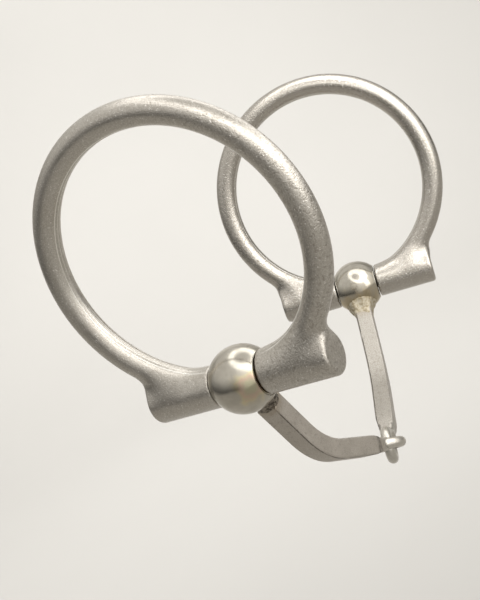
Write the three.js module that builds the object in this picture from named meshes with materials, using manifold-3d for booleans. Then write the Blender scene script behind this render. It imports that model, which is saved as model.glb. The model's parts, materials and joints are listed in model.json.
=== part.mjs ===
// Snaffle bit: two ring cheeks, each hinged on a ball, and a jointed mouthpiece of two curved square
// bars whose eyes are linked. Millimetres, +Z up. The bit hangs by its rings: the near ring stands
// upright in the YZ plane, and the origin is at the top of that ring's opening, where it is held.
// +X points out of the near cheek, away from the far one.
import * as THREE from "three";
import { mergeVertices } from "three/addons/utils/BufferGeometryUtils.js";
import Module from "manifold-3d";

// Ring: round bar bent to a circle that touches the pin line
const ringRadius = 32; // to the middle of the bar
const ringBar = 6.35; // bar diameter
const flareInset = 3; // from the sleeve's outer end, along the pin, to where the ring's end starts to swell

// Sleeves, ball and pin of one cheek's hinge
const sleeveDiameter = 10;
const sleeveReach = 24; // ball's middle to the sleeve's outer end
const sleeveRim = 0.9; // rounding of the sleeve's outer rim
const ballDiameter = 15.875;
const pinDiameter = 4;
const pinCover = 6; // of solid sleeve past the pin's end
const runningGap = 0.3; // between a flat of the ball and the sleeve beside it
const pinClearance = 0.09; // round the pin, in its bores
const boreRunout = 0.8; // bore depth past the pin's end
const seatGap = 0.3; // between welded pieces

// Mouth bars: square bar, straight from the ball, bent once, then straight to its eye
const barWidth = 5;
const barEdge = 0.45; // rounding of the bar's long edges
const barStraight = 24; // ball's middle to the start of the bend
const bendRadius = 29;
const bendAngle = THREE.MathUtils.degToRad(33.5);
const barTail = 32; // end of the bend to the middle of the eye's end wire
const neckLength = 9; // length over which the square bar is drawn down to the neck
const neckExtra = 0.6; // by which the neck is thicker than the eye's wire
const neckRound = 0.94; // share of the neck's half width that its corners are rounded by
const eyeWire = 3;
const eyeSlack = 1.4; // by which the eye's hole is wider than the wire

// Weld bead where a bar meets its ball
const beadBuild = 0.87; // thickness over the bar's corners
const beadLength = 2.6; // from the ball's surface along the bar
const beadLump = 0.22; // how far the ripples stand out
const beadTaper = 0.14; // share of its width that the bead loses at the bar
const beadWaves = [7, 3]; // ripples round the bead, of the two sets that cross
const beadLean = [2.1, 4]; // how far each set leans over the bead's length, in radians

// Rest pose, in degrees: how far each bar hangs from straight below its ring, and how the far half
// lies in the near half's eye
const nearHang = 26.2;
const farHang = 37.4;
const linkFold = 37.5;
const linkSwing = -18.2;
const linkTwist = -10.1;
const linkGap = 0.71; // between the end wires of the two eyes
const linkUnder = 38.3; // the far eye's end wire from the near eye's: down from straight back, in degrees
const linkAcross = -0.12; // and to the -Y side

// Facets
const tubeSides = 16;
const ringSteps = 52;
const turnSides = 28;
const ballSteps = 10;
const bendSteps = 8;
const neckSteps = 5;
const loopSteps = 24;
const beadSides = 24;
const beadSteps = 5;
const rimSteps = 3;
const cornerSteps = 3;

const wasm = await Module();
wasm.setup();

const rad = THREE.MathUtils.degToRad;
const ballRadius = ballDiameter / 2;
const sleeveRadius = sleeveDiameter / 2;
const flatReach = Math.sqrt(ballRadius ** 2 - sleeveRadius ** 2); // the ball's flats are as wide as a sleeve
const faceReach = flatReach + runningGap; // ball's middle to a sleeve's inner end
const pinReach = sleeveReach - pinCover; // ball's middle to the pin's end
const boreRadius = pinDiameter / 2 + pinClearance;
const eyeRadius = eyeWire + eyeSlack / 2; // to the middle of the eye's wire
const bendLength = bendRadius * bendAngle;
const barRun = barStraight + bendLength + barTail; // ball's middle to the middle of the eye's end wire

function solidOf(geometry) {
  const plain = new THREE.BufferGeometry();
  plain.setAttribute("position", geometry.getAttribute("position"));
  plain.setIndex(geometry.getIndex());
  const merged = mergeVertices(plain, 1e-4);
  return new wasm.Manifold(
    new wasm.Mesh({
      numProp: 3,
      vertProperties: merged.attributes.position.array,
      triVerts: new Uint32Array(merged.index.array),
    }),
  );
}

function geometryOf(solid) {
  const mesh = solid.getMesh();
  const geometry = new THREE.BufferGeometry();
  geometry.setAttribute("position", new THREE.BufferAttribute(mesh.vertProperties, 3));
  geometry.setIndex(new THREE.BufferAttribute(mesh.triVerts, 1));
  return geometry;
}

// A closed skin through sections. Each section has a middle, two directions whose cross product
// points along the run, and its outline as [along first, along second] pairs, anticlockwise.
function skin(sections) {
  const sides = sections[0].outline.length;
  const points = [];
  const faces = [];
  for (const { middle, first, second, outline } of sections)
    for (const [a, b] of outline) {
      const p = middle.clone().addScaledVector(first, a).addScaledVector(second, b);
      points.push(p.x, p.y, p.z);
    }
  for (let k = 0; k + 1 < sections.length; k++)
    for (let j = 0; j < sides; j++) {
      const here = k * sides + j;
      const beside = k * sides + ((j + 1) % sides);
      faces.push(here, beside, beside + sides, here, beside + sides, here + sides);
    }
  const last = (sections.length - 1) * sides;
  const startMiddle = points.length / 3;
  points.push(...sections[0].middle.toArray(), ...sections.at(-1).middle.toArray());
  for (let j = 0; j < sides; j++) {
    const next = (j + 1) % sides;
    faces.push(startMiddle, next, j, startMiddle + 1, last + j, last + next);
  }
  const geometry = new THREE.BufferGeometry();
  geometry.setAttribute("position", new THREE.Float32BufferAttribute(points, 3));
  geometry.setIndex(faces);
  return geometry;
}

// A turned shape round the Y axis: its profile goes up its outside
function turned(profile) {
  const points = profile.map(([radius, along]) => new THREE.Vector2(radius, along));
  return new THREE.LatheGeometry(points, turnSides);
}

function arcPoints(middleRadius, middleAlong, radius, from, to, steps) {
  return Array.from({ length: steps + 1 }, (_, i) => {
    const angle = rad(from + ((to - from) * i) / steps);
    return [middleRadius + radius * Math.cos(angle), middleAlong + radius * Math.sin(angle)];
  });
}

// Cheek frame: origin at the ball's middle, Y along the pin, Z up to the ring's middle

// The ring's bar, with both ends swelling into the sleeves and cut to sit on them
function ringGeometry() {
  const start = Math.asin(faceReach / ringRadius);
  const swellEnd = Math.asin((sleeveReach - flareInset) / ringRadius);
  const sections = [];
  for (let i = 0; i <= ringSteps; i++) {
    const angle = start + ((2 * Math.PI - 2 * start) * i) / ringSteps;
    const fromEnd = Math.min(angle, 2 * Math.PI - angle);
    const swell = 1 - THREE.MathUtils.smoothstep(fromEnd, start, swellEnd);
    const swollen = THREE.MathUtils.lerp(ringBar / 2, sleeveRadius, swell);
    const outline = [];
    for (let j = 0; j < tubeSides; j++) {
      const turn = (2 * Math.PI * j) / tubeSides;
      const depth = Math.sin(turn) > 0 ? ringBar / 2 : swollen; // it swells to the inside only
      outline.push([swollen * Math.cos(turn), depth * Math.sin(turn)]);
    }
    sections.push({
      middle: new THREE.Vector3(0, ringRadius * Math.sin(angle), ringRadius * (1 - Math.cos(angle))),
      first: new THREE.Vector3(1, 0, 0),
      second: new THREE.Vector3(0, Math.sin(angle), -Math.cos(angle)),
      outline,
    });
  }
  const seatRadius = sleeveRadius + seatGap;
  const seat = new THREE.CylinderGeometry(seatRadius, seatRadius, 2 * (sleeveReach + ringBar), turnSides);
  const slotHeight = 2 * (sleeveDiameter + ringBar);
  const slot = new THREE.BoxGeometry(2 * sleeveDiameter, 2 * faceReach, slotHeight);
  return geometryOf(solidOf(skin(sections)).subtract(solidOf(seat)).subtract(solidOf(slot)));
}

// A sleeve on the +Y side: closed outer end with a rounded rim, blind bore for the pin
function sleeveGeometry() {
  const boreEnd = pinReach + boreRunout;
  return turned([
    [0, boreEnd],
    [boreRadius, boreEnd],
    [boreRadius, faceReach],
    [sleeveRadius, faceReach],
    ...arcPoints(sleeveRadius - sleeveRim, sleeveReach - sleeveRim, sleeveRim, 0, 90, rimSteps),
    [0, sleeveReach],
  ]);
}

function pinGeometry() {
  return new THREE.CylinderGeometry(pinDiameter / 2, pinDiameter / 2, 2 * pinReach, turnSides);
}

// The ball: bored for the pin, with a flat beside each sleeve
function ballGeometry() {
  const flatAngle = THREE.MathUtils.radToDeg(Math.asin(flatReach / ballRadius));
  const outside = arcPoints(0, 0, ballRadius, -flatAngle, flatAngle, ballSteps);
  return turned([
    [boreRadius, -flatReach],
    ...outside,
    [boreRadius, flatReach],
    [boreRadius, -flatReach],
  ]);
}

// Mouth frame: origin at the ball's middle, Y along the pin. The bar leaves along -Z and bends to -X.
function barPlace(run) {
  const turn = THREE.MathUtils.clamp((run - barStraight) / bendRadius, 0, bendAngle);
  const before = Math.min(run, barStraight);
  const after = Math.max(run - barStraight - bendLength, 0);
  const x = -bendRadius * (1 - Math.cos(turn)) - after * Math.sin(turn);
  const z = -before - bendRadius * Math.sin(turn) - after * Math.cos(turn);
  return { middle: new THREE.Vector3(x, 0, z), turn };
}

// A square with rounded corners, anticlockwise
function squareOutline(half, edge) {
  const inset = half - edge;
  const corners = [[inset, inset], [-inset, inset], [-inset, -inset], [inset, -inset]];
  return corners.flatMap(([a, b], quarter) =>
    arcPoints(a, b, edge, 90 * quarter, 90 * (quarter + 1), cornerSteps),
  );
}

function barSection(run, half, edge) {
  const { middle, turn } = barPlace(run);
  return {
    middle,
    first: new THREE.Vector3(0, 1, 0),
    second: new THREE.Vector3(Math.cos(turn), 0, -Math.sin(turn)),
    outline: squareOutline(half, edge),
  };
}

// A mouth bar with its eye. The near eye lies flat across the bar, the far eye stands up to link it.
function barGeometry(eyeStandsUp) {
  const loopMiddle = barRun - eyeRadius;
  const neckEnd = loopMiddle - eyeRadius;
  const neckStart = neckEnd - neckLength;
  const sections = [barSection(0, barWidth / 2, barEdge)];
  for (let i = 0; i <= bendSteps; i++)
    sections.push(barSection(barStraight + (bendLength * i) / bendSteps, barWidth / 2, barEdge));
  for (let i = 0; i <= neckSteps; i++) {
    const drawn = THREE.MathUtils.smoothstep(i / neckSteps, 0, 1);
    const half = THREE.MathUtils.lerp(barWidth, eyeWire + neckExtra, drawn) / 2;
    const edge = THREE.MathUtils.lerp(barEdge, neckRound * half, drawn);
    sections.push(barSection(neckStart + (neckLength * i) / neckSteps, half, edge));
  }
  const { middle, turn } = barPlace(loopMiddle);
  const loop = new THREE.TorusGeometry(eyeRadius, eyeWire / 2, tubeSides / 2, loopSteps);
  if (eyeStandsUp) loop.rotateX(Math.PI / 2);
  else loop.rotateY(Math.PI / 2);
  loop.rotateY(turn).translate(middle.x, 0, middle.z);
  const seat = new THREE.SphereGeometry(ballRadius + seatGap, turnSides, turnSides / 2);
  return geometryOf(solidOf(skin(sections)).add(solidOf(loop)).subtract(solidOf(seat)));
}

// The weld bead: a rippled collar round the bar's root, cut to the ball and the bar
function beadGeometry() {
  const start = ballRadius - beadLength / 2;
  const end = ballRadius + beadLength;
  const widest = barWidth * Math.SQRT1_2 + beadBuild;
  const sections = [];
  for (let i = 0; i <= beadSteps; i++) {
    const share = i / beadSteps;
    const belly = widest * (1 - beadTaper * share ** 4);
    const outline = [];
    for (let j = 0; j < beadSides; j++) {
      const turn = (2 * Math.PI * j) / beadSides;
      const ripples = beadWaves.map((waves, set) => Math.sin(waves * turn + beadLean[set] * share));
      const radius = belly + beadLump * ripples[0] * ripples[1];
      outline.push([radius * Math.cos(turn), radius * Math.sin(turn)]);
    }
    sections.push({
      middle: new THREE.Vector3(0, 0, -THREE.MathUtils.lerp(start, end, share)),
      first: new THREE.Vector3(0, 1, 0),
      second: new THREE.Vector3(1, 0, 0),
      outline,
    });
  }
  const past = beadLength / 2; // by which the bar's hole runs past both ends
  const hole = [start - past, end + past].map((run) => barSection(run, barWidth / 2 + seatGap, barEdge));
  const ball = new THREE.SphereGeometry(ballRadius + seatGap, turnSides, turnSides / 2);
  const collar = solidOf(skin(sections));
  return geometryOf(collar.subtract(solidOf(skin(hole))).subtract(solidOf(ball)));
}

function steel(color, roughness) {
  return new THREE.MeshStandardMaterial({ color, roughness, metalness: 1 });
}

function piece(name, geometry, color, roughness) {
  geometry.computeVertexNormals();
  const mesh = new THREE.Mesh(geometry, steel(color, roughness));
  mesh.name = name;
  return mesh;
}

function makeCheek(side) {
  const cheek = new THREE.Group();
  const ring = piece(`${side}_ring`, ringGeometry(), 0xb4afa6, 0.34);
  const front = piece(`${side}_front_sleeve`, sleeveGeometry(), 0xaaa59c, 0.36);
  const rear = piece(`${side}_rear_sleeve`, sleeveGeometry(), 0xaaa59c, 0.36);
  rear.rotation.z = Math.PI;
  const pin = piece(`${side}_hinge_pin`, pinGeometry(), 0x8f8b84, 0.4);
  cheek.add(ring, front, rear, pin);
  return cheek;
}

function makeMouthHalf(side, eyeStandsUp) {
  const half = new THREE.Group();
  half.add(
    piece(`${side}_ball`, ballGeometry(), 0xb9b2a4, 0.28),
    piece(`${side}_weld_bead`, beadGeometry(), 0x8a7656, 0.55),
    piece(`${side}_mouth_bar`, barGeometry(eyeStandsUp), 0xaeaaa3, 0.38),
  );
  return half;
}

const bit = new THREE.Group();

// Near cheek, held at the top of its ring's opening
const nearCheek = makeCheek("near");
nearCheek.position.z = ringBar / 2 - 2 * ringRadius;
bit.add(nearCheek);

// Near half of the mouthpiece turns on the near pin
const nearHalf = makeMouthHalf("near", false);
nearHalf.rotation.y = rad(nearHang);
nearCheek.add(nearHalf);

// The near eye's end wire, turned to its bar's direction there
const nearTip = new THREE.Group();
nearTip.position.copy(barPlace(barRun).middle);
nearTip.rotation.y = bendAngle;
nearHalf.add(nearTip);

// The far half lies in the near eye: folded, swung and twisted there, and facing the other way
const farTip = new THREE.Group();
const linkReach = eyeWire + linkGap;
const under = rad(linkUnder);
farTip.position.set(linkReach * Math.sin(under), -linkAcross, linkReach * Math.cos(under));
farTip.rotation.set(rad(linkSwing), rad(linkFold), rad(linkTwist), "YXZ");
nearTip.add(farTip);
const facing = new THREE.Group();
facing.rotation.x = Math.PI;
farTip.add(facing);

// The far half is placed by its own eye, so its frame is stepped back from the tip to the ball
const unbent = new THREE.Group();
unbent.rotation.y = -bendAngle;
facing.add(unbent);
const farHalf = makeMouthHalf("far", true);
farHalf.position.copy(barPlace(barRun).middle).negate();
unbent.add(farHalf);

// The far cheek turns on the far pin
const farCheek = makeCheek("far");
farCheek.rotation.y = -rad(farHang);
farHalf.add(farCheek);

export default bit;
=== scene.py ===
# %% [markdown]
# # A snaffle bit in satin steel
# The bit hangs by its two rings, and its jointed mouthpiece drops between them in a V. The packed
# model gives every piece its place, so it is loaded first and never moved. What follows puts a
# finely shaped skin over each solid, dresses it in steel and sets up the camera and the light.

# %% Load the fixed frame
import json
from math import asin, cos, pi, radians, sin, sqrt

import bmesh
import bpy
import numpy as np
from mathutils import Matrix, Vector, noise


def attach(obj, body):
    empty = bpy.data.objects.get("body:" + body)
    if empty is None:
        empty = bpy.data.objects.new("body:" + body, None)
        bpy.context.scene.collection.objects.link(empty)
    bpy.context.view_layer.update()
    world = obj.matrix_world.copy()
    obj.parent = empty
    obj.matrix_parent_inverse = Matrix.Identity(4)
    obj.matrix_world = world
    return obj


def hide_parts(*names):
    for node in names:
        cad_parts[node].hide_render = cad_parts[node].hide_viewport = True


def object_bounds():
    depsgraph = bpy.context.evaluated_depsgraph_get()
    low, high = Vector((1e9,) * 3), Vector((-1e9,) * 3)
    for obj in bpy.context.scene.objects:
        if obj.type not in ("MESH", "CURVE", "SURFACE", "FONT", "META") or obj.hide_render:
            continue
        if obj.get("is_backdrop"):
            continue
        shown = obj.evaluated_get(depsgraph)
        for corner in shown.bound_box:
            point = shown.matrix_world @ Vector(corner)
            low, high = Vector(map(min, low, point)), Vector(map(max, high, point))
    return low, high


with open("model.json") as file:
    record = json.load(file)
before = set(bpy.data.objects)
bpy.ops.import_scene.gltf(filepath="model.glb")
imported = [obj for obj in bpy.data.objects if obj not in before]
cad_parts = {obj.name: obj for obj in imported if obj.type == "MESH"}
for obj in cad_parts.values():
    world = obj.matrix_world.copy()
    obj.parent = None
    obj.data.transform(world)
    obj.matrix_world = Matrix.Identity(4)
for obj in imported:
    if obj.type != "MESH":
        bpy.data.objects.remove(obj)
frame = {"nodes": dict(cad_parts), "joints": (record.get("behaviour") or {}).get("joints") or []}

cad_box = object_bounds()
print("CAD box in metres:", [[round(c, 4) for c in corner] for corner in cad_box])

# %% [markdown]
# ## Sizes
# Everything is shaped in millimetres, at the sizes of the solids, and turned to metres at the
# very end. A ring is a round bar bent to a circle that touches the line of its hinge pin. The
# sleeves lie on that line, and the ball turns between them.

# %% Sizes in millimetres
MILLIMETRE = 0.001  # in metres
RING_RADIUS = 32.0  # to the middle of its bar
RING_BAR = 6.35
SLEEVE_RADIUS = 5.0
SLEEVE_REACH = 24.0  # from the ball's middle to the sleeve's outer end
BALL_RADIUS = 7.9375
FLAT_REACH = sqrt(BALL_RADIUS**2 - SLEEVE_RADIUS**2)  # from the ball's middle to its flats
BALL_GAP = 0.3
FACE_REACH = FLAT_REACH + BALL_GAP  # from the ball's middle to the sleeve's inner face
PIN_BORE = 2.09  # radius
BAR_WIDTH = 5.0
BAR_STRAIGHT = 24.0  # from the ball's middle to the bend
BEND_RADIUS = 29.0
BEND = radians(33.5)
BAR_TAIL = 32.0  # from the bend to the eye's last wire, measured to the wire's middle
EYE_WIRE = 3.0
EYE_PLAY = 0.7
EYE_RADIUS = EYE_WIRE + EYE_PLAY  # to the middle of its wire
NECK_LENGTH = 9.0
NECK_WIDTH = 3.6
BEND_LENGTH = BEND_RADIUS * BEND
BAR_RUN = BAR_STRAIGHT + BEND_LENGTH + BAR_TAIL
print("a bar measures", round(BAR_RUN, 2), "mm from its ball's middle to its eye's last wire")

# %% [markdown]
# ## Where each piece sits
# Four frames follow one another as the pieces hang: near cheek, near half of the mouthpiece, far
# half, far cheek. Each is the last one moved and turned, with the same angles as the solids, and
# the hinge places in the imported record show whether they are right.

# %% The four frames
NEAR_HINGE_TURN = 26.2  # all turns in degrees
LINK_FOLD, LINK_SWING, LINK_TWIST = 37.5, -18.2, -10.1
FAR_HINGE_TURN = -37.4
EYE_STEP = 3.71  # from the middle of the near eye's wire to that of the far eye's
EYE_STEP_LEAN = radians(38.3)
EYE_STEP_ASIDE = 0.12


def turn(degrees, axis):
    return Matrix.Rotation(radians(degrees), 4, axis)


bar_end = Vector((
    -BEND_RADIUS * (1 - cos(BEND)) - BAR_TAIL * sin(BEND),
    0,
    -BAR_STRAIGHT - BEND_RADIUS * sin(BEND) - BAR_TAIL * cos(BEND),
))
eye_middle = bar_end + EYE_RADIUS * Vector((sin(BEND), 0, cos(BEND)))
eye_step = Vector((EYE_STEP * sin(EYE_STEP_LEAN), EYE_STEP_ASIDE, EYE_STEP * cos(EYE_STEP_LEAN)))

near_cheek = Matrix.Translation((0, 0, RING_BAR / 2 - 2 * RING_RADIUS))
near_half = near_cheek @ turn(NEAR_HINGE_TURN, "Y")
near_eye = near_half @ Matrix.Translation(bar_end) @ Matrix.Rotation(BEND, 4, "Y")
far_eye = (near_eye @ Matrix.Translation(eye_step)
           @ turn(LINK_FOLD, "Y") @ turn(LINK_SWING, "X") @ turn(LINK_TWIST, "Z"))
far_half = far_eye @ turn(180, "X") @ Matrix.Rotation(-BEND, 4, "Y") @ Matrix.Translation(-bar_end)
far_cheek = far_half @ turn(FAR_HINGE_TURN, "Y")

for joint, place in zip(frame["joints"], (near_cheek, near_eye, far_cheek)):
    off = (place.translation - Vector(joint["pos_m"]) * 1000).length
    print(joint["name"], "is", round(off, 3), "mm from the record's")

# %% [markdown]
# ## The camera
# The picture was taken close up, from in front of the near ring and a little above it, with the
# camera tilted. The lens and the place were solved from the outlines of the rings, balls and
# bars, so they are written as they came out: two directions, a place, and a lens whose length in
# the picture's own pixels comes to 69 mm on a frame 36 mm high.

# %% Camera
LENS_PIXELS = 1150.26
PICTURE_HEIGHT = 600
SENSOR_HEIGHT = 36
camera = bpy.data.objects.new("camera", bpy.data.cameras.new("camera"))
bpy.context.scene.collection.objects.link(camera)
camera_right = Vector((-0.3683, 0.8170, -0.4437)).normalized()
camera_back = Vector((0.8199, 0.5104, 0.2593)).normalized()
camera_up = camera_back.cross(camera_right).normalized()
camera_right = camera_up.cross(camera_back)
camera_place = Vector((0.2022, 0.1346, 0.0208))
camera.matrix_world = Matrix((
    (camera_right.x, camera_up.x, camera_back.x, camera_place.x),
    (camera_right.y, camera_up.y, camera_back.y, camera_place.y),
    (camera_right.z, camera_up.z, camera_back.z, camera_place.z),
    (0, 0, 0, 1),
))
camera.data.sensor_fit = "VERTICAL"
camera.data.sensor_height = SENSOR_HEIGHT
camera.data.lens = LENS_PIXELS / PICTURE_HEIGHT * SENSOR_HEIGHT
camera.data.clip_start = 0.01
bpy.context.scene.camera = camera
bpy.context.scene.view_settings.view_transform = "Standard"
print("lens", round(camera.data.lens, 2), "mm, camera", round(camera_place.length, 3), "m out")

# %% [markdown]
# ## Tools for shading
# A material is a small tree of nodes. One function adds a node, sets what it is told to and links
# what it is given. Another turns the hex number of a colour, as a paint chart would give it, to
# the linear values that the renderer works in.

# %% Nodes and colours
def colour(hex_number):
    channels = [((hex_number >> shift) & 255) / 255 for shift in (16, 8, 0)]
    linear = [c / 12.92 if c <= 0.04045 else ((c + 0.055) / 1.055) ** 2.4 for c in channels]
    return (*linear, 1.0)


def add(tree, kind, inputs=None, **settings):
    node = tree.nodes.new(kind)
    for name, value in settings.items():
        setattr(node, name, value)
    for name, value in (inputs or {}).items():
        if isinstance(value, bpy.types.NodeSocket):
            tree.links.new(value, node.inputs[name])
        else:
            node.inputs[name].default_value = value
    return node


def new_material(name):
    material = bpy.data.materials.new(name)
    material.use_nodes = True
    material.node_tree.nodes.clear()
    return material


print("mid grey 808080 becomes", [round(c, 3) for c in colour(0x808080)])

# %% [markdown]
# ## Floor and backdrop
# The bit hangs over a wide pale sheet of paper that curves up behind it, so that no horizon
# crosses the picture. A plane and a wall would meet in a line, so one profile of two straights
# and an arc is drawn and extruded sideways. The paleness is the paper's own colour, and no light
# is added for it.

# %% Floor and backdrop
FLOOR_DEPTH = -0.5  # this and the next sizes in metres
FLOOR_FRONT = -2.0
FLOOR_REACH = 1.3
COVE_RADIUS = 0.6
WALL_HEIGHT = 1.8
HALF_SHEET = 2.5
away = Vector((-camera_back.x, -camera_back.y, 0)).normalized()
sideways = Vector((-away.y, away.x, 0))
profile = [(FLOOR_FRONT, 0.0), (FLOOR_REACH, 0.0)]
profile += [(FLOOR_REACH + COVE_RADIUS * sin(radians(step)), COVE_RADIUS * (1 - cos(radians(step))))
            for step in range(6, 91, 6)]
profile.append((FLOOR_REACH + COVE_RADIUS, WALL_HEIGHT))
bm = bmesh.new()
line = [bm.verts.new(away * out - sideways * HALF_SHEET + Vector((0, 0, FLOOR_DEPTH + up)))
        for out, up in profile]
edges = [bm.edges.new(pair) for pair in zip(line, line[1:])]
sheet = bmesh.ops.extrude_edge_only(bm, edges=edges)["geom"]
far_side = [v for v in sheet if isinstance(v, bmesh.types.BMVert)]
bmesh.ops.translate(bm, verts=far_side, vec=sideways * (2 * HALF_SHEET))
bmesh.ops.recalc_face_normals(bm, faces=bm.faces)
backdrop = bpy.data.objects.new("backdrop", bpy.data.meshes.new("backdrop"))
bm.to_mesh(backdrop.data)
bm.free()
for polygon in backdrop.data.polygons:
    polygon.use_smooth = True
bpy.context.scene.collection.objects.link(backdrop)
backdrop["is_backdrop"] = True

# uncoated paper: matt, its tone uneven over a third of a metre
pale_paper = new_material("matt_pale_paper")
tree = pale_paper.node_tree
place = add(tree, "ShaderNodeTexCoord")
grain = add(tree, "ShaderNodeTexNoise", {
    "Vector": place.outputs["Object"], "Scale": 3.0, "Detail": 3.0})
tone = add(tree, "ShaderNodeMix", {
    "Factor": grain.outputs["Fac"], "A": colour(0xB2B0AC), "B": colour(0xB8B6B2)}, data_type="RGBA")
paper = add(tree, "ShaderNodeBsdfPrincipled", {
    "Base Color": tone.outputs["Result"], "Roughness": 0.9})
add(tree, "ShaderNodeOutputMaterial", {"Surface": paper.outputs["BSDF"]})
backdrop.data.materials.append(pale_paper)
print("paper", -FLOOR_DEPTH, "m below the origin, wall", FLOOR_REACH + COVE_RADIUS, "m away")

# %% [markdown]
# ## Lamps and room
# Polished steel shows what stands around it, so the lamps are chosen by the gleams that they
# leave. A ring of soft discs above the bit gives the balls their ring-shaped gleam and the rings
# their long highlights. One disc as wide would give a plain round spot. A square lamp stands to
# the right. One more stands beyond the bit and faces away from it, and an area lamp shines
# forwards only, so it lights the paper alone. The room is lighter above than below, with a broad
# soft window to the right.

# %% Lamps and room
RING_LAMP_DISCS = 16
RING_LAMP_RADIUS = 0.107  # in metres


def lamp(name, place, target, size, power, shape="DISK"):
    light = bpy.data.objects.new(name, bpy.data.lights.new(name, "AREA"))
    light.data.shape = shape
    light.data.size = size
    light.data.energy = power
    light.location = place
    light.rotation_euler = (Vector(target) - Vector(place)).to_track_quat("-Z", "Y").to_euler()
    bpy.context.scene.collection.objects.link(light)


bit_middle = Vector((-0.05, -0.01, -0.06))
ring_lamp_middle = Vector((-0.030, 0.049, 0.080))
ring_lamp_axis = Vector((0.278, -0.607, -0.744)).normalized()
ring_lamp_side = ring_lamp_axis.cross(camera_right).normalized()
ring_lamp_across = ring_lamp_axis.cross(ring_lamp_side)
for number in range(RING_LAMP_DISCS):
    angle = 2 * pi * number / RING_LAMP_DISCS
    outward = cos(angle) * ring_lamp_side + sin(angle) * ring_lamp_across
    spot = ring_lamp_middle + RING_LAMP_RADIUS * outward
    lamp(f"ring_lamp_{number}", spot, spot + ring_lamp_axis, size=0.09, power=0.034)
lamp("strip", (0.2, 1.0, 0.08), bit_middle, size=0.45, power=1.0, shape="SQUARE")
lamp("backdrop_lamp", away * 0.9 + Vector((0, 0, 0.7)), away * 1.9 + Vector((0, 0, -0.1)),
     size=0.8, power=17.0, shape="SQUARE")

world = bpy.data.worlds.new("studio")
bpy.context.scene.world = world
world.use_nodes = True
tree = world.node_tree
tree.nodes.clear()
way = add(tree, "ShaderNodeTexCoord")
height = add(tree, "ShaderNodeSeparateXYZ", {"Vector": way.outputs["Generated"]})
level = add(tree, "ShaderNodeMapRange", {
    "Value": height.outputs["Z"],
    "From Min": -0.05, "From Max": 0.55, "To Min": 0.1, "To Max": 0.9})
window_way = Vector((0.36, 0.93, 0.06)).normalized()
facing = add(tree, "ShaderNodeVectorMath", {0: way.outputs["Generated"], 1: window_way},
             operation="DOT_PRODUCT")
window = add(tree, "ShaderNodeMapRange", {
    "Value": facing.outputs["Value"],
    "From Min": 0.3, "From Max": 0.98, "To Min": 0.0, "To Max": 0.95},
    interpolation_type="SMOOTHSTEP")
strength = add(tree, "ShaderNodeMath", {0: level.outputs[0], 1: window.outputs[0]}, operation="ADD")
sky = add(tree, "ShaderNodeBackground", {
    "Color": colour(0xFFFDF9), "Strength": strength.outputs[0]})
add(tree, "ShaderNodeOutputWorld", {"Surface": sky.outputs["Background"]})

# %% [markdown]
# ## One skin from several shapes
# A cheek is forged and ground: the ring's bar runs into its sleeves in soft hollows, with no
# seam. A boolean union would leave a crease there, and a bevel on that crease would break on its
# slivers. So simple shapes are overlapped, a voxel remesh joins them in one skin of small even
# quads, and each point of the skin then settles on an exact form. A form is a function that gives
# a point's distance from the surface. Two forms are blended where they meet, over a width that
# acts as the hollow's radius.

# %% Forms and settling
PROBE = 0.01  # half the step over which a form's slope is measured
LONGEST_MOVE = 0.5
LEAST_SLOPE_SQUARED = 0.05  # so that a point on a ridge isn't thrown far


def blend_forms(a, b, width):
    near = np.maximum(width - np.abs(a - b), 0) / width
    return np.minimum(a, b) - near * near * width / 4


def cut_form(a, b, width):
    return -blend_forms(-a, b, width)


def ease(x, low, high):
    t = np.clip((x - low) / (high - low), 0, 1)
    return t * t * (3 - 2 * t)


def rounded_square(u, v, half, corner):
    u, v = np.abs(u) - half + corner, np.abs(v) - half + corner
    return np.hypot(np.maximum(u, 0), np.maximum(v, 0)) + np.minimum(np.maximum(u, v), 0) - corner


def read_points(mesh):
    flat = np.empty(len(mesh.vertices) * 3)
    mesh.vertices.foreach_get("co", flat)
    return flat.reshape(-1, 3)


def settle(mesh, form, steps=6):
    points = read_points(mesh)
    for _ in range(steps):
        distance = form(points)
        slope = np.stack([
            form(points + PROBE * axis) - form(points - PROBE * axis) for axis in np.eye(3)
        ], axis=1) / (2 * PROBE)
        slope /= np.maximum(np.sum(slope**2, axis=1, keepdims=True), LEAST_SLOPE_SQUARED)
        points -= np.clip(distance, -LONGEST_MOVE, LONGEST_MOVE)[:, None] * slope
    mesh.vertices.foreach_set("co", points.ravel())
    mesh.update()
    return float(np.abs(form(points)).max())


def skin_over(name, bm, form, voxel):
    rough = bpy.data.meshes.new(name + "_rough")
    bmesh.ops.recalc_face_normals(bm, faces=bm.faces)
    bm.to_mesh(rough)
    bm.free()
    holder = bpy.data.objects.new(name + "_rough", rough)
    bpy.context.scene.collection.objects.link(holder)
    remesh = holder.modifiers.new("one skin", "REMESH")
    remesh.mode = "VOXEL"
    remesh.voxel_size = voxel
    graph = bpy.context.evaluated_depsgraph_get()
    skin = bpy.data.meshes.new_from_object(holder.evaluated_get(graph))
    skin.name = name
    bpy.data.objects.remove(holder)
    settle(skin, form)
    for _ in range(2):
        bm = bmesh.new()
        bm.from_mesh(skin)
        bmesh.ops.smooth_vert(bm, verts=bm.verts, factor=0.5,
                              use_axis_x=True, use_axis_y=True, use_axis_z=True)
        bm.to_mesh(skin)
        bm.free()
        left = settle(skin, form)
    print(name, "has", len(skin.polygons), "faces, all within", round(left, 4), "mm of its form")
    return skin


# %% [markdown]
# ## Putting a piece in place
# Each shape is made round its own origin, in millimetres. This function turns it to metres, moves
# it to its frame, gives it its name and material, and says which body carries it and which solids
# it stands for.

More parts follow.
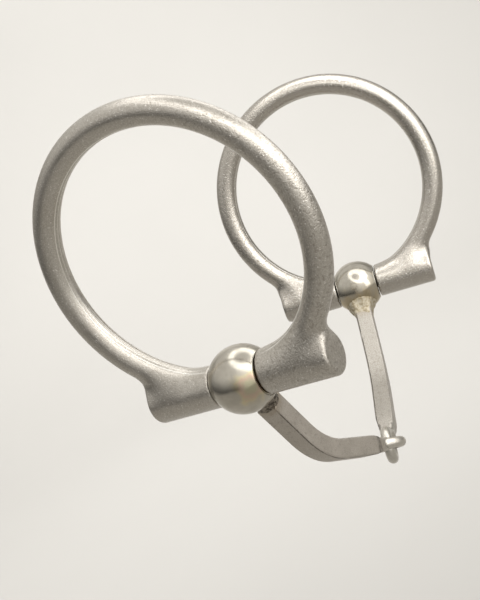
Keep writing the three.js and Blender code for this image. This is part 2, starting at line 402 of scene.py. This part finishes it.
# %% Place a piece
def place_piece(name, mesh, where, body, solids, material):
    placed = mesh.copy()
    placed.name = name
    placed.transform(Matrix.Scale(MILLIMETRE, 4) @ where)
    for polygon in placed.polygons:
        polygon.use_smooth = True
    piece = bpy.data.objects.new(name, placed)
    bpy.context.scene.collection.objects.link(piece)
    placed.materials.clear()
    placed.materials.append(material)
    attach(piece, body)
    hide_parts(*solids)
    print(name, "rides on", body, "for", ", ".join(solids))


# %% [markdown]
# ## Cheek: the form
# The ring's bar swells a little on its inner side as it comes down to the hinge, and blends with
# the sleeves. Towards a sleeve's outer end the hollow is filled to a broad web, as the forging
# leaves it. The near cheek's two flares differ, so each has its own swell and hollow, and the far
# cheek's are alike. The slot for the ball is cut square, and its edges are broken over half a
# millimetre, as a file would leave them. A skin lies a little under its solid's surface, so that
# no bulge of it comes out of the solids' box.

# %% Cheek form
SWELL_FADE = 3  # from the end of the swell to the sleeve's outer end
SWELL_START = asin(FACE_REACH / RING_RADIUS)
SWELL_END = asin((SLEEVE_REACH - SWELL_FADE) / RING_RADIUS)
SLEEVE_RIM = 0.9
WEB_START, WEB_END = 12, 20  # along the sleeve
WEB_HOLLOW = 4.6
SLOT_TOP = 15
SLOT_EDGE = 0.5
CHEEK_UNDER = 0.05
SLEEVE_END_UNDER = 0.02


def cheek_form(front_swell, front_hollow, rear_swell, rear_hollow):
    def form(p):
        x, y, z = p.T
        front, y = y > 0, np.abs(y)
        angle = np.arctan2(y, RING_RADIUS - z)
        swell = (1 - ease(angle, SWELL_START, SWELL_END)) * np.where(front, front_swell, rear_swell)
        from_middle = np.hypot(np.hypot(y, RING_RADIUS - z) - RING_RADIUS + swell, x)
        ring = from_middle - RING_BAR / 2 + CHEEK_UNDER - swell
        across = np.hypot(x, z) - (SLEEVE_RADIUS - CHEEK_UNDER - SLEEVE_RIM)
        along = y - (SLEEVE_REACH - SLEEVE_END_UNDER - SLEEVE_RIM)
        sleeve = np.hypot(np.maximum(across, 0), np.maximum(along, 0)) - SLEEVE_RIM
        sleeve += np.minimum(np.maximum(across, along), 0)
        hollow = np.where(front, front_hollow, rear_hollow)
        hollow = hollow + (WEB_HOLLOW - hollow) * ease(y, WEB_START, WEB_END)
        body = blend_forms(ring, sleeve, hollow)
        slot = np.maximum(y - FACE_REACH, z - SLOT_TOP)
        return cut_form(body, slot, SLOT_EDGE)

    return form


print("swelling runs from", round(SWELL_START, 3), "to", round(SWELL_END, 3), "radians")

# %% [markdown]
# ## Cheek: the blank
# The blank only has to lie close to the form. A circle the size of the bar's section is spun
# round the ring's middle from one face of the slot to the other, and a cylinder stands for each
# sleeve.

# %% Cheek mesh: a spun bar and two cylinders, joined
CHEEK_VOXEL = 0.3


def cheek_blank():
    bm = bmesh.new()
    centre = Vector((0, 0, RING_RADIUS))
    circle = bmesh.ops.create_circle(bm, segments=32, radius=RING_BAR / 2, cap_ends=True)["verts"]
    lean = Matrix.Rotation(SWELL_START, 4, "X")
    stand = Matrix.Translation(centre) @ lean @ Matrix.Translation(-centre)
    bmesh.ops.transform(bm, matrix=stand @ Matrix.Rotation(pi / 2, 4, "X"), verts=circle)
    bmesh.ops.spin(bm, geom=list(bm.faces), cent=centre, axis=(1, 0, 0),
                   angle=2 * pi - 2 * SWELL_START, steps=120, use_duplicate=False)
    length = SLEEVE_REACH - FACE_REACH
    for side in (1, -1):
        middle = Matrix.Translation((0, side * (FACE_REACH + length / 2), 0))
        bmesh.ops.create_cone(bm, cap_ends=True, segments=48, radius1=SLEEVE_RADIUS,
                              radius2=SLEEVE_RADIUS, depth=length,
                              matrix=middle @ Matrix.Rotation(pi / 2, 4, "X"))
    return bm


near_flares = cheek_form(front_swell=0.45, front_hollow=2.4, rear_swell=0.03, rear_hollow=1.2)
far_flares = cheek_form(front_swell=0.08, front_hollow=1.8, rear_swell=0.08, rear_hollow=1.8)
cheek_meshes = {
    "near": skin_over("near_cheek", cheek_blank(), near_flares, CHEEK_VOXEL),
    "far": skin_over("far_cheek", cheek_blank(), far_flares, CHEEK_VOXEL),
}

# %% [markdown]
# ## Ball
# The ball was turned on a lathe, so it starts as a fine sphere. Two planes cut its flats, each
# flat is inset and joined to the other through the middle for the pin's bore, and the sharp rim
# is bevelled. With a bore through it, the recalculated faces can all come out pointing inwards.
# The sign of the volume tells.

# %% Ball mesh
RIM_BEVEL = 0.25


def ball_mesh():
    bm = bmesh.new()
    bmesh.ops.create_uvsphere(bm, u_segments=96, v_segments=64, radius=BALL_RADIUS)
    bmesh.ops.rotate(bm, verts=bm.verts, cent=(0, 0, 0), matrix=Matrix.Rotation(pi / 2, 3, "X"))
    inner_rims = []
    for side in (1, -1):
        cut = bmesh.ops.bisect_plane(bm, geom=bm.verts[:] + bm.edges[:] + bm.faces[:], dist=1e-5,
                                     plane_co=(0, side * FLAT_REACH, 0), plane_no=(0, side, 0),
                                     clear_outer=True)
        rim = [e for e in cut["geom_cut"] if isinstance(e, bmesh.types.BMEdge)]
        flat = bmesh.ops.edgeloop_fill(bm, edges=rim)["faces"]
        bmesh.ops.inset_region(bm, faces=flat, thickness=SLEEVE_RADIUS - PIN_BORE,
                               use_even_offset=True)
        inner_rims += list(flat[0].edges)
        bmesh.ops.delete(bm, geom=flat, context="FACES_ONLY")
    bmesh.ops.bridge_loops(bm, edges=inner_rims)
    rims = [e for e in bm.edges if all(abs(abs(v.co.y) - FLAT_REACH) < 1e-4 for v in e.verts)
            and all(abs(Vector((v.co.x, v.co.z)).length - SLEEVE_RADIUS) < 0.05 for v in e.verts)]
    bmesh.ops.bevel(bm, geom=rims, offset=RIM_BEVEL, offset_type="OFFSET", affect="EDGES",
                    segments=3, profile=0.5, material=-1)
    bmesh.ops.recalc_face_normals(bm, faces=bm.faces)
    if bm.calc_volume(signed=True) < 0:
        bmesh.ops.reverse_faces(bm, faces=bm.faces)
    mesh = bpy.data.meshes.new("ball")
    bm.to_mesh(mesh)
    bm.free()
    print("ball:", len(mesh.polygons), "faces,", len(rims), "rim edges bevelled")
    return mesh


ball = ball_mesh()

# %% [markdown]
# ## Mouth bar
# The bar is square stock, bent once, then drawn down round at its end and bent to a closed eye.
# Its form measures a point by how far along the run it lies and how far off it stands, so one
# rounded square covers straight, bend and neck, and its corners grow to a round over the last of
# the neck. The near eye lies flat across the bar, and the far eye stands up to pass through it.
# The near bar starts further from its ball than the far one, with its square-cut end in plain
# sight.

# %% Bar form
BAR_CORNER = 0.42
NECK_ROUNDNESS = 0.94  # share of the neck's half width that its corners take up
NECK_EASE = 4
CUT_EDGE = 0.3
EYE_BLEND = 1.6
EYE_UNDER = 0.07


def along_bar(p):
    x, y, z = p.T
    bend_turn = np.clip(np.arctan2(-(z + BAR_STRAIGHT), x + BEND_RADIUS), 0, BEND)
    on_bend = np.hypot(x + BEND_RADIUS, z + BAR_STRAIGHT) - BEND_RADIUS
    end_x, end_z = -BEND_RADIUS * (1 - cos(BEND)), -BAR_STRAIGHT - BEND_RADIUS * sin(BEND)
    past = -(x - end_x) * sin(BEND) - (z - end_z) * cos(BEND)
    past_off = (x - end_x) * cos(BEND) - (z - end_z) * sin(BEND)
    before = z > -BAR_STRAIGHT
    after = (past > 0) & ~before
    round_bend = BAR_STRAIGHT + BEND_RADIUS * bend_turn
    run = np.where(before, -z, np.where(after, BAR_STRAIGHT + BEND_LENGTH + past, round_bend))
    off = np.where(before, x, np.where(after, past_off, on_bend))
    return run, off, y


def bar_form(eye_stands_up, root):
    loop_middle = BAR_RUN - EYE_RADIUS
    neck_end = loop_middle - EYE_RADIUS

    def form(p):
        run, off, across = along_bar(p)
        drawn = ease(run, neck_end - NECK_LENGTH, neck_end)
        half = BAR_WIDTH / 2 + (NECK_WIDTH - BAR_WIDTH) / 2 * drawn
        rounding = ease(run, neck_end - NECK_EASE, neck_end)
        corner = BAR_CORNER + (NECK_ROUNDNESS * half - BAR_CORNER) * rounding
        square = rounded_square(off, across, half, corner)
        bar = cut_form(cut_form(square, run - root, CUT_EDGE), neck_end - run, CUT_EDGE)
        inside, outside = (off, across) if eye_stands_up else (across, off)
        from_wire = np.hypot(np.hypot(run - loop_middle, inside) - EYE_RADIUS, outside)
        eye = from_wire - EYE_WIRE / 2 + EYE_UNDER
        return blend_forms(bar, eye, EYE_BLEND)

    return form


print("the eye's middle lies", round(BAR_RUN - EYE_RADIUS, 2), "mm along the bar")

# %% [markdown]
# ## Mouth bar: the blank
# A square is extruded to the bend, spun round it and extruded on towards the eye. A cylinder
# stands for the neck, and a circle spun to a torus for the eye. Faces left inside by the two
# extrusions are deleted.

# %% Bar mesh
BAR_VOXEL = 0.22
BLANK_UNDER = 0.02
NECK_OVERLAP = 0.5
NEAR_ROOT, FAR_ROOT = 9.8, 8.6  # from the ball's middle to where each bar starts


def bar_blank(root):
    bm = bmesh.new()
    bmesh.ops.create_grid(bm, x_segments=1, y_segments=1, size=BAR_WIDTH / 2 - BLANK_UNDER,
                          matrix=Matrix.Translation((0, 0, -root)))
    end = bmesh.ops.extrude_face_region(bm, geom=bm.faces[:])["geom"]
    verts = [v for v in end if isinstance(v, bmesh.types.BMVert)]
    bmesh.ops.translate(bm, verts=verts, vec=(0, 0, root - BAR_STRAIGHT))
    last = [f for f in end if isinstance(f, bmesh.types.BMFace)]
    spun = bmesh.ops.spin(bm, geom=last, cent=(-BEND_RADIUS, 0, -BAR_STRAIGHT), axis=(0, 1, 0),
                          angle=BEND, steps=24, use_duplicate=False)["geom_last"]
    last = [f for f in spun if isinstance(f, bmesh.types.BMFace)]
    tail = bmesh.ops.extrude_face_region(bm, geom=last)["geom"]
    verts = [v for v in tail if isinstance(v, bmesh.types.BMVert)]
    straight = BAR_TAIL - 2 * EYE_RADIUS - NECK_LENGTH / 2
    heading = Vector((-sin(BEND), 0, -cos(BEND)))
    bmesh.ops.translate(bm, verts=verts, vec=heading * straight)
    inside = [f for f in bm.faces if all(len(e.link_faces) > 2 for e in f.edges)]
    bmesh.ops.delete(bm, geom=inside, context="FACES_ONLY")
    return bm


def tip_blank(bm, eye_stands_up):
    tip = Matrix.Translation(bar_end) @ Matrix.Rotation(BEND, 4, "Y")
    neck = tip @ Matrix.Translation((0, 0, 2 * EYE_RADIUS + NECK_LENGTH / 2 - NECK_OVERLAP))
    bmesh.ops.create_cone(bm, cap_ends=True, segments=24, radius1=NECK_WIDTH / 2,
                          radius2=NECK_WIDTH / 2, depth=NECK_LENGTH, matrix=neck)
    wire = bmesh.ops.create_circle(bm, segments=24, radius=EYE_WIRE / 2 - BLANK_UNDER)["verts"]
    bmesh.ops.rotate(bm, verts=wire, cent=(0, 0, 0), matrix=Matrix.Rotation(pi / 2, 3, "X"))
    bmesh.ops.translate(bm, verts=wire, vec=(EYE_RADIUS, 0, 0))
    edges = list({e for v in wire for e in v.link_edges})
    bmesh.ops.spin(bm, geom=wire + edges, cent=(0, 0, 0), axis=(0, 0, 1), angle=2 * pi, steps=72,
                   use_merge=True)
    loop = [v for v in bm.verts if v.co.length < EYE_RADIUS + EYE_WIRE and v.co.z > -EYE_WIRE]
    stand = Matrix.Rotation(pi / 2, 4, "X" if eye_stands_up else "Y")
    middle = tip @ Matrix.Translation((0, 0, EYE_RADIUS))
    bmesh.ops.transform(bm, matrix=middle @ stand, verts=loop)
    return bm


bar_meshes = {}
for side, stands_up, root in (("near", False, NEAR_ROOT), ("far", True, FAR_ROOT)):
    blank = tip_blank(bar_blank(root), stands_up)
    bar_meshes[side] = skin_over(side + "_bar", blank, bar_form(stands_up, root), BAR_VOXEL)

# %% [markdown]
# ## Weld bead
# Each bar was welded to its ball by hand, and the two welds differ. The near one is a small rough
# pad between the ball and the bar's square-cut end, whose corners stand out past it. The far one
# runs from the ball down the bar in a generous fillet. Both are forms again: ball and pad, or
# ball and bar, blended over the width of the weld and laid just under their surfaces, so that
# only the weld itself shows. A noise then pushes the skin in and out, in lumps about two
# millimetres across and finer ones of half a millimetre, which are strong on the near weld and
# faint on the far one.

# %% Weld bead forms
BEAD_TOP = 6.4  # inside the ball; all reaches are from its middle
NEAR_BEAD_END, FAR_BEAD_END = 10.1, 12.2
BEAD_UNDER = 0.06
PAD_RADIUS = 3.0
PAD_HOLLOW = 2.2
FILLET = 3.6
FILLET_MORE = 1.6  # on the front of the bar
BEAD_CORNER = 0.5


def under_ball(x, y, z):
    return np.sqrt(x * x + y * y + z * z) - BALL_RADIUS + BEAD_UNDER


def near_weld_form(p):
    x, y, z = p.T
    pad = np.hypot(x, y) - PAD_RADIUS
    weld = blend_forms(under_ball(x, y, z), pad, PAD_HOLLOW)
    return np.maximum(weld, np.maximum(z + BEAD_TOP, -NEAR_BEAD_END - z))


def far_weld_form(p):
    x, y, z = p.T
    under_bar = rounded_square(x, y, BAR_WIDTH / 2, BEAD_CORNER) + BEAD_UNDER
    weld = blend_forms(under_ball(x, y, z), under_bar, FILLET + FILLET_MORE * ease(y, -2, 3))
    return np.maximum(weld, np.maximum(z + BEAD_TOP, -FAR_BEAD_END - z))


print("beads end", NEAR_BEAD_END, "and", FAR_BEAD_END, "mm from their balls' middles")

# %% Weld bead meshes
BEAD_VOXEL = 0.14
FLARE_END, STEM_START = 8.6, 8.5
FLARE_RADIUS = 4.5
LUMPS_PER_MM = 0.6
FINE_LUMPS_PER_MM = 1.8


def bead_mesh(name, form, low, girth, lump, fine, seed):
    bm = bmesh.new()
    for top, bottom, wide, narrow in ((BEAD_TOP, FLARE_END, FLARE_RADIUS, girth),
                                      (STEM_START, low, girth, girth)):
        where = Matrix.Translation((0, 0, -(top + bottom) / 2))
        bmesh.ops.create_cone(bm, cap_ends=True, segments=32, radius1=narrow, radius2=wide,
                              depth=bottom - top, matrix=where)
    mesh = skin_over(name, bm, form, BEAD_VOXEL)
    bm = bmesh.new()
    bm.from_mesh(mesh)
    bm.normal_update()
    for vert in bm.verts:
        push = noise.noise(vert.co * LUMPS_PER_MM + Vector((seed, 0, 0)))
        push = push + fine * noise.noise(vert.co * FINE_LUMPS_PER_MM)
        vert.co += vert.normal * push * lump
    bm.to_mesh(mesh)
    bm.free()
    return mesh


bead_meshes = {
    "near": bead_mesh("near_bead", near_weld_form, low=NEAR_BEAD_END, girth=2.9, lump=0.26,
                      fine=0.4, seed=2.3),
    "far": bead_mesh("far_bead", far_weld_form, low=FAR_BEAD_END, girth=2.6, lump=0.2,
                     fine=0.05, seed=7.1),
}

# %% [markdown]
# ## Steel
# The whole bit is stainless steel, and its pieces differ in how they were finished, so each
# finish gets its own material from a few shared helpers. A pattern has to lie along the piece, so
# each material measures places in its piece's own frame, in millimetres, through one Mapping
# node. Blasting and turning leave marks finer than the picture can show, and these are drawn
# three to four tenths of a millimetre wide so that they show.

# %% Steel: shared start
def local_millimetres(tree, where):
    place = add(tree, "ShaderNodeTexCoord")
    return add(tree, "ShaderNodeMapping", {
        "Vector": place.outputs["Object"],
        "Location": where.translation * MILLIMETRE,
        "Rotation": where.to_euler("XYZ"),
        "Scale": (MILLIMETRE, MILLIMETRE, MILLIMETRE),
    }, vector_type="TEXTURE").outputs["Vector"]


def maths(tree, operation, *values):
    return add(tree, "ShaderNodeMath", dict(enumerate(values)), operation=operation).outputs[0]


def noise_of(tree, vector, per_mm, detail=2.0, roughness=0.6):
    return add(tree, "ShaderNodeTexNoise", {
        "Vector": vector, "Scale": per_mm, "Detail": detail, "Roughness": roughness}).outputs["Fac"]


def spread(tree, value, low, high, to_low=0.0, to_high=1.0):
    return add(tree, "ShaderNodeMapRange", {
        "Value": value, "From Min": low, "From Max": high, "To Min": to_low, "To Max": to_high},
        interpolation_type="SMOOTHSTEP").outputs[0]


def hairline(tree, value, at, core, fade, strength=1.0):
    off = maths(tree, "ABSOLUTE", maths(tree, "SUBTRACT", value, at))
    return spread(tree, off, core, fade, strength, 0.0)


def mix_colours(tree, factor, first, second):
    return add(tree, "ShaderNodeMix", {"Factor": factor, "A": first, "B": second},
               data_type="RGBA").outputs["Result"]


def finish_steel(tree, base, roughness, height, depth_mm):
    bump = add(tree, "ShaderNodeBump", {
        "Height": height, "Strength": 1.0, "Distance": depth_mm * MILLIMETRE})
    steel = add(tree, "ShaderNodeBsdfPrincipled", {
        "Base Color": base, "Roughness": roughness, "Metallic": 1.0,
        "Normal": bump.outputs["Normal"]})
    add(tree, "ShaderNodeOutputMaterial", {"Surface": steel.outputs["BSDF"]})


print("steel patterns are laid out in each piece's own frame")

# %% [markdown]
# ## Satin steel of the cheeks
# A cheek was forged from drawn bar and blasted to a satin, with its fine sparkle painted in as
# near-white glints. The dies of the drawing left faint marks along the bar, and two raised
# hairlines on the ring's inner side carry painted highlights; both follow the ring round. The skin
# is mottled on the side of the front sleeve.

# %% Satin forged stainless steel, for a cheek
def satin_forged_steel(side, where, smooth, rough):
    """Stainless bar, drawn, forged to its sleeves and blasted satin: warm grey with a fine grain
    and painted glints, faint draw marks, two raised hairlines painted bright as highlights on the
    ring's inner side and dark mottling in spots under a millimetre across."""
    material = new_material(side + "_satin_forged_stainless")
    tree = material.node_tree
    local = local_millimetres(tree, where)
    axes = add(tree, "ShaderNodeSeparateXYZ", {"Vector": local})
    width = maths(tree, "ABSOLUTE", axes.outputs["Y"])
    below = maths(tree, "SUBTRACT", RING_RADIUS, axes.outputs["Z"])
    length = maths(tree, "MULTIPLY", maths(tree, "ARCTAN2", width, below), RING_RADIUS * 0.18)
    squares = maths(tree, "MULTIPLY_ADD", width, width, maths(tree, "MULTIPLY", below, below))
    radial = maths(tree, "SQRT", squares)
    along = add(tree, "ShaderNodeCombineXYZ", {
        "X": axes.outputs["X"], "Y": radial, "Z": length}).outputs[0]
    marks = noise_of(tree, along, per_mm=2.6, detail=3.0)
    clouds = noise_of(tree, local, per_mm=0.1, detail=3.0)
    grain = noise_of(tree, local, per_mm=3.2, detail=1.0)
    blotches = noise_of(tree, local, per_mm=1.3, detail=3.0, roughness=0.65)

    # painted highlights: two raised hairlines, 154 and 170 degrees round the bar from the ring's
    # outer side, painted near-white
    round_bar = maths(tree, "ARCTAN2", maths(tree, "ABSOLUTE", axes.outputs["X"]),
                      maths(tree, "SUBTRACT", radial, RING_RADIUS))
    first = hairline(tree, round_bar, at=2.69, core=0.02, fade=0.07)
    second = hairline(tree, round_bar, at=2.97, core=0.02, fade=0.06, strength=0.6)
    patchy = spread(tree, noise_of(tree, along, per_mm=0.16, detail=2.0), 0.4, 0.56)
    highlight_lines = maths(tree, "MULTIPLY", maths(tree, "MAXIMUM", first, second), patchy)

    # mottling: stronger towards +Y, where the ring runs down to the front sleeve
    toward = maths(tree, "MULTIPLY_ADD", axes.outputs["Y"], 0.006, clouds)
    mottled = spread(tree, toward, 0.44, 0.62)
    spots = maths(tree, "MULTIPLY", spread(tree, blotches, 0.5, 0.64), mottled)

    tone = mix_colours(tree, clouds, colour(0xAAA49B), colour(0xBEB9B0))
    streaked = mix_colours(tree, maths(tree, "MULTIPLY", marks, 0.6), tone, colour(0x968E83))
    light_grain = spread(tree, grain, 0.3, 0.7, 0.0, 0.5)
    speckled = mix_colours(tree, light_grain, streaked, colour(0xCCC8C0))
    # painted glints: near-white specks mixed into the colour, and raised a little in the bump
    glint_specks = spread(tree, noise_of(tree, local, per_mm=2.2, detail=2.0, roughness=0.7), 0.6, 0.72)
    speckled = mix_colours(tree, maths(tree, "MULTIPLY", glint_specks, 0.6), speckled, colour(0xEEEBE5))
    pitted = mix_colours(tree, maths(tree, "MULTIPLY", spots, 0.34), speckled, colour(0x6E655A))
    highlit = mix_colours(tree, maths(tree, "MULTIPLY", highlight_lines, 0.7), pitted, colour(0xEDEAE3))
    dull = spread(tree, clouds, 0.3, 0.7, smooth, rough)
    height = maths(tree, "MULTIPLY_ADD", grain, 1.0, maths(tree, "MULTIPLY", marks, 0.4))
    height = maths(tree, "MULTIPLY_ADD", spots, -0.4, height)
    height = maths(tree, "MULTIPLY_ADD", glint_specks, 0.5, height)
    height = maths(tree, "MULTIPLY_ADD", highlight_lines, 1.2, height)
    finish_steel(tree, highlit, dull, height, depth_mm=0.05)
    print(material.name, "has", len(tree.nodes), "nodes")
    return material


# %% [markdown]
# ## Polished steel of the balls
# The balls were turned and polished, so they are the smoothest pieces and show the lamps. Welding
# tinted them with a thin oxide: on the far ball round its weld, on the near one in a spot beside
# the front sleeve. The tint is a colour ramp over the distance from where the ball was hottest.

# %% Turned and polished stainless steel, for a ball
def turned_polished_steel(side, where, heated, reach, tints, smooth, rough):
    """Stainless ball, turned and polished: smoother than the ring, with fine turning marks round
    the pin and a thin heat tint that fades away from its hottest place."""
    material = new_material(side + "_turned_polished_stainless")
    tree = material.node_tree
    local = local_millimetres(tree, where)
    axes = add(tree, "ShaderNodeSeparateXYZ", {"Vector": local})
    rings = add(tree, "ShaderNodeCombineXYZ", {"Y": axes.outputs["Y"]}).outputs[0]
    marks = noise_of(tree, rings, per_mm=2.4, detail=3.0)
    clouds = noise_of(tree, local, per_mm=0.3, detail=3.0)
    grain = noise_of(tree, local, per_mm=3.0, detail=1.0)
    away_from = add(tree, "ShaderNodeVectorMath", {0: local, 1: heated}, operation="DISTANCE")
    wander = maths(tree, "MULTIPLY_ADD", clouds, 6.0, away_from.outputs["Value"])
    heat = spread(tree, wander, reach[0], reach[1], 1.0, 0.0)
    tint = add(tree, "ShaderNodeValToRGB", {"Fac": heat})
    ramp = tint.color_ramp
    ramp.elements[0].position, ramp.elements[0].color = 0.0, colour(0xBFBAAE)
    ramp.elements[1].position, ramp.elements[1].color = 1.0, colour(tints[-1])
    for number, shade in enumerate(tints[:-1]):
        ramp.elements.new(0.35 + 0.3 * number).color = colour(shade)
    cloudy = spread(tree, clouds, 0.35, 0.65, 0.0, 0.35)
    tone = mix_colours(tree, cloudy, tint.outputs["Color"], colour(0x958F84))
    tone = mix_colours(tree, maths(tree, "MULTIPLY", marks, 0.3), tone, colour(0x9A948A))
    dull = spread(tree, clouds, 0.3, 0.7, smooth, rough)
    height = maths(tree, "ADD", marks, maths(tree, "MULTIPLY", grain, 0.5))
    finish_steel(tree, tone, dull, height, depth_mm=0.008)
    print(material.name, "has", len(tree.nodes), "nodes")
    return material


# %% [markdown]
# ## Matt steel of the mouth bars
# The bars were blasted matt. A groove runs along one edge of each with painted shade in it, the
# weld stained its root, and the linked eyes have worn each other smooth, with a painted highlight
# on them.

# %% Matt bar steel, for a mouth bar
def matt_bar_steel(side, where, dark, light):
    """Square stainless bar, blasted matt: grey with a fine grain, a groove along one edge with
    painted shade in it, a brown stain at the weld and an eye worn smooth, with a painted highlight."""
    material = new_material(side + "_blasted_matt_stainless")
    tree = material.node_tree
    local = local_millimetres(tree, where)
    axes = add(tree, "ShaderNodeSeparateXYZ", {"Vector": local})
    stretch = add(tree, "ShaderNodeVectorMath", {0: local, 1: (0.5, 0.3, 1.6)},
                  operation="MULTIPLY").outputs[0]
    marks = noise_of(tree, stretch, per_mm=1.3, detail=3.0)
    clouds = noise_of(tree, local, per_mm=0.3, detail=4.0)
    grain = noise_of(tree, local, per_mm=3.2, detail=1.0)
    spots = spread(tree, noise_of(tree, local, per_mm=0.9, detail=3.0, roughness=0.7), 0.55, 0.68)
    # painted shade: a dark line along one edge, pressed in as a groove in the bump
    groove_and_shade = hairline(tree, axes.outputs["Y"], at=2.2, core=0.06, fade=0.2)
    groove_and_shade = maths(tree, "MULTIPLY", groove_and_shade, spread(tree, clouds, 0.32, 0.5))
    # wear and painted highlight: round the eye the colour is lightened toward near-white and the
    # roughness lowered
    eye = add(tree, "ShaderNodeVectorMath", {0: local, 1: eye_middle}, operation="DISTANCE")
    from_eye = maths(tree, "MULTIPLY_ADD", clouds, 3.0, eye.outputs["Value"])
    wear_and_highlight = spread(tree, from_eye, 6.0, 9.0, 1.0, 0.0)
    tone = mix_colours(tree, clouds, colour(dark), colour(light))
    tone = mix_colours(tree, maths(tree, "MULTIPLY", marks, 0.35), tone, colour(0x8F8A80))
    tone = mix_colours(tree, spread(tree, grain, 0.3, 0.7, 0.0, 0.5), tone, colour(0xC8C5BD))
    tone = mix_colours(tree, maths(tree, "MULTIPLY", spots, 0.3), tone, colour(0x7A746A))
    tone = mix_colours(tree, maths(tree, "MULTIPLY", groove_and_shade, 0.75), tone, colour(0x4E4942))
    tone = mix_colours(tree, maths(tree, "MULTIPLY", wear_and_highlight, 0.6), tone, colour(0xD2CEC4))
    weld = add(tree, "ShaderNodeVectorMath", {0: local, 1: (0, 0, -BALL_RADIUS)},
               operation="DISTANCE")
    from_weld = maths(tree, "MULTIPLY_ADD", clouds, 3.0, weld.outputs["Value"])
    stain = spread(tree, from_weld, 3.5, 7.5, 0.5, 0.0)
    tone = mix_colours(tree, stain, tone, colour(0x8E7C5E))
    dull = maths(tree, "MULTIPLY_ADD", wear_and_highlight, -0.26, spread(tree, clouds, 0.3, 0.7, 0.52, 0.62))
    height = maths(tree, "MULTIPLY_ADD", marks, 0.5, maths(tree, "MULTIPLY", grain, 1.1))
    height = maths(tree, "MULTIPLY_ADD", groove_and_shade, -1.2, height)
    finish_steel(tree, tone, dull, height, depth_mm=0.045)
    print(material.name, "has", len(tree.nodes), "nodes")
    return material


# %% [markdown]
# ## Weld metal and pin steel
# Weld metal keeps the skin that it froze with, dark and rough on the near side, pale, dull and
# nearly smooth on the far one. The pins were never polished, and they are painted dark as the
# shade of the gaps beside the balls, where they show.

# %% Weld metal and pin steel
def raw_weld_steel(side, where, dark, light, rough_mm, dull):
    """Weld metal left as it froze, under heat scale, brighter on its lumps."""
    material = new_material(side + "_raw_weld_metal")
    tree = material.node_tree
    local = local_millimetres(tree, where)
    lumps = noise_of(tree, local, per_mm=1.1, detail=3.0)
    tone = mix_colours(tree, spread(tree, lumps, 0.36, 0.6), colour(dark), colour(light))
    duller = spread(tree, lumps, 0.2, 0.8, dull + 0.1, dull - 0.05)
    finish_steel(tree, tone, duller, lumps, depth_mm=rough_mm)
    print(material.name, "has", len(tree.nodes), "nodes")
    return material


def plain_pin_steel(side, where):
    """Drawn stainless pin, unpolished, painted dark as the shade of the gaps that it shows through.
    """
    material = new_material(side + "_drawn_pin_stainless")
    tree = material.node_tree
    local = local_millimetres(tree, where)
    # painted shade: dark noise on the pin, for the gaps beside the balls
    gap_shade_noise = noise_of(tree, local, per_mm=1.5, detail=3.0)
    tone = mix_colours(tree, gap_shade_noise, colour(0x3A352F), colour(0x8A857C))
    finish_steel(tree, tone, spread(tree, gap_shade_noise, 0.0, 1.0, 0.35, 0.55), gap_shade_noise, depth_mm=0.02)
    print(material.name, "has", len(tree.nodes), "nodes")
    return material


# %% [markdown]
# ## Dressing the bit
# The two sides are alike, so one loop places a cheek, a ball, a bead and a bar on each, in its
# own frame, and gives the hinge pin, which stays as it was packed, its own steel.

# %% Place and dress both sides
frames = {"near": (near_cheek, near_half), "far": (far_cheek, far_half)}
finishes = {
    "near": {
        "cheek": {"smooth": 0.29, "rough": 0.38},
        "ball": {"heated": (5.4, 4.6, 2.6), "reach": (3.4, 7.8),
                 "tints": (0xC8BD9C, 0xC6AC97, 0xB2AE92), "smooth": 0.19, "rough": 0.26},
        "bead": {"dark": 0x4A443C, "light": 0x8C8478, "rough_mm": 0.08, "dull": 0.5},
        "bar": {"dark": 0xA89F95, "light": 0xBEB5AB},
    },
    "far": {
        "cheek": {"smooth": 0.2, "rough": 0.28},
        "ball": {"heated": (0, 0, -BALL_RADIUS), "reach": (6.5, 12.5),
                 "tints": (0xC3BAA6, 0xBBAD92, 0xA39678), "smooth": 0.15, "rough": 0.2},
        "bead": {"dark": 0xA2977F, "light": 0xBEB6A4, "rough_mm": 0.01, "dull": 0.66},
        "bar": {"dark": 0x99938B, "light": 0xAFA9A1},
    },
}
for side, (cheek_frame, half_frame) in frames.items():
    finish = finishes[side]
    place_piece(side + "_cheek_piece", cheek_meshes[side], cheek_frame, side + "_cheek",
                [side + "_ring", side + "_front_sleeve", side + "_rear_sleeve"],
                satin_forged_steel(side, cheek_frame, **finish["cheek"]))
    place_piece(side + "_ball_piece", ball, half_frame, side + "_mouth",
                [side + "_ball"],
                turned_polished_steel(side, half_frame, **finish["ball"]))
    place_piece(side + "_weld_piece", bead_meshes[side], half_frame, side + "_mouth",
                [side + "_weld_bead"],
                raw_weld_steel(side, half_frame, **finish["bead"]))
    place_piece(side + "_bar_piece", bar_meshes[side], half_frame, side + "_mouth",
                [side + "_mouth_bar"],
                matt_bar_steel(side, half_frame, **finish["bar"]))
    pin = frame["nodes"][side + "_hinge_pin"]
    pin.data.materials.clear()
    pin.data.materials.append(plain_pin_steel(side, cheek_frame))

# %% [markdown]
# ## Last look at the size
# The finished pieces have to stay inside the box of the solids, so both boxes are written down
# side by side before the frame is closed.

# %% Sizes and finish
visual_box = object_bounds()
for name, box in (("CAD", cad_box), ("visual", visual_box)):
    print(name, "box in mm:", [[round(c * 1000, 2) for c in corner] for corner in box])
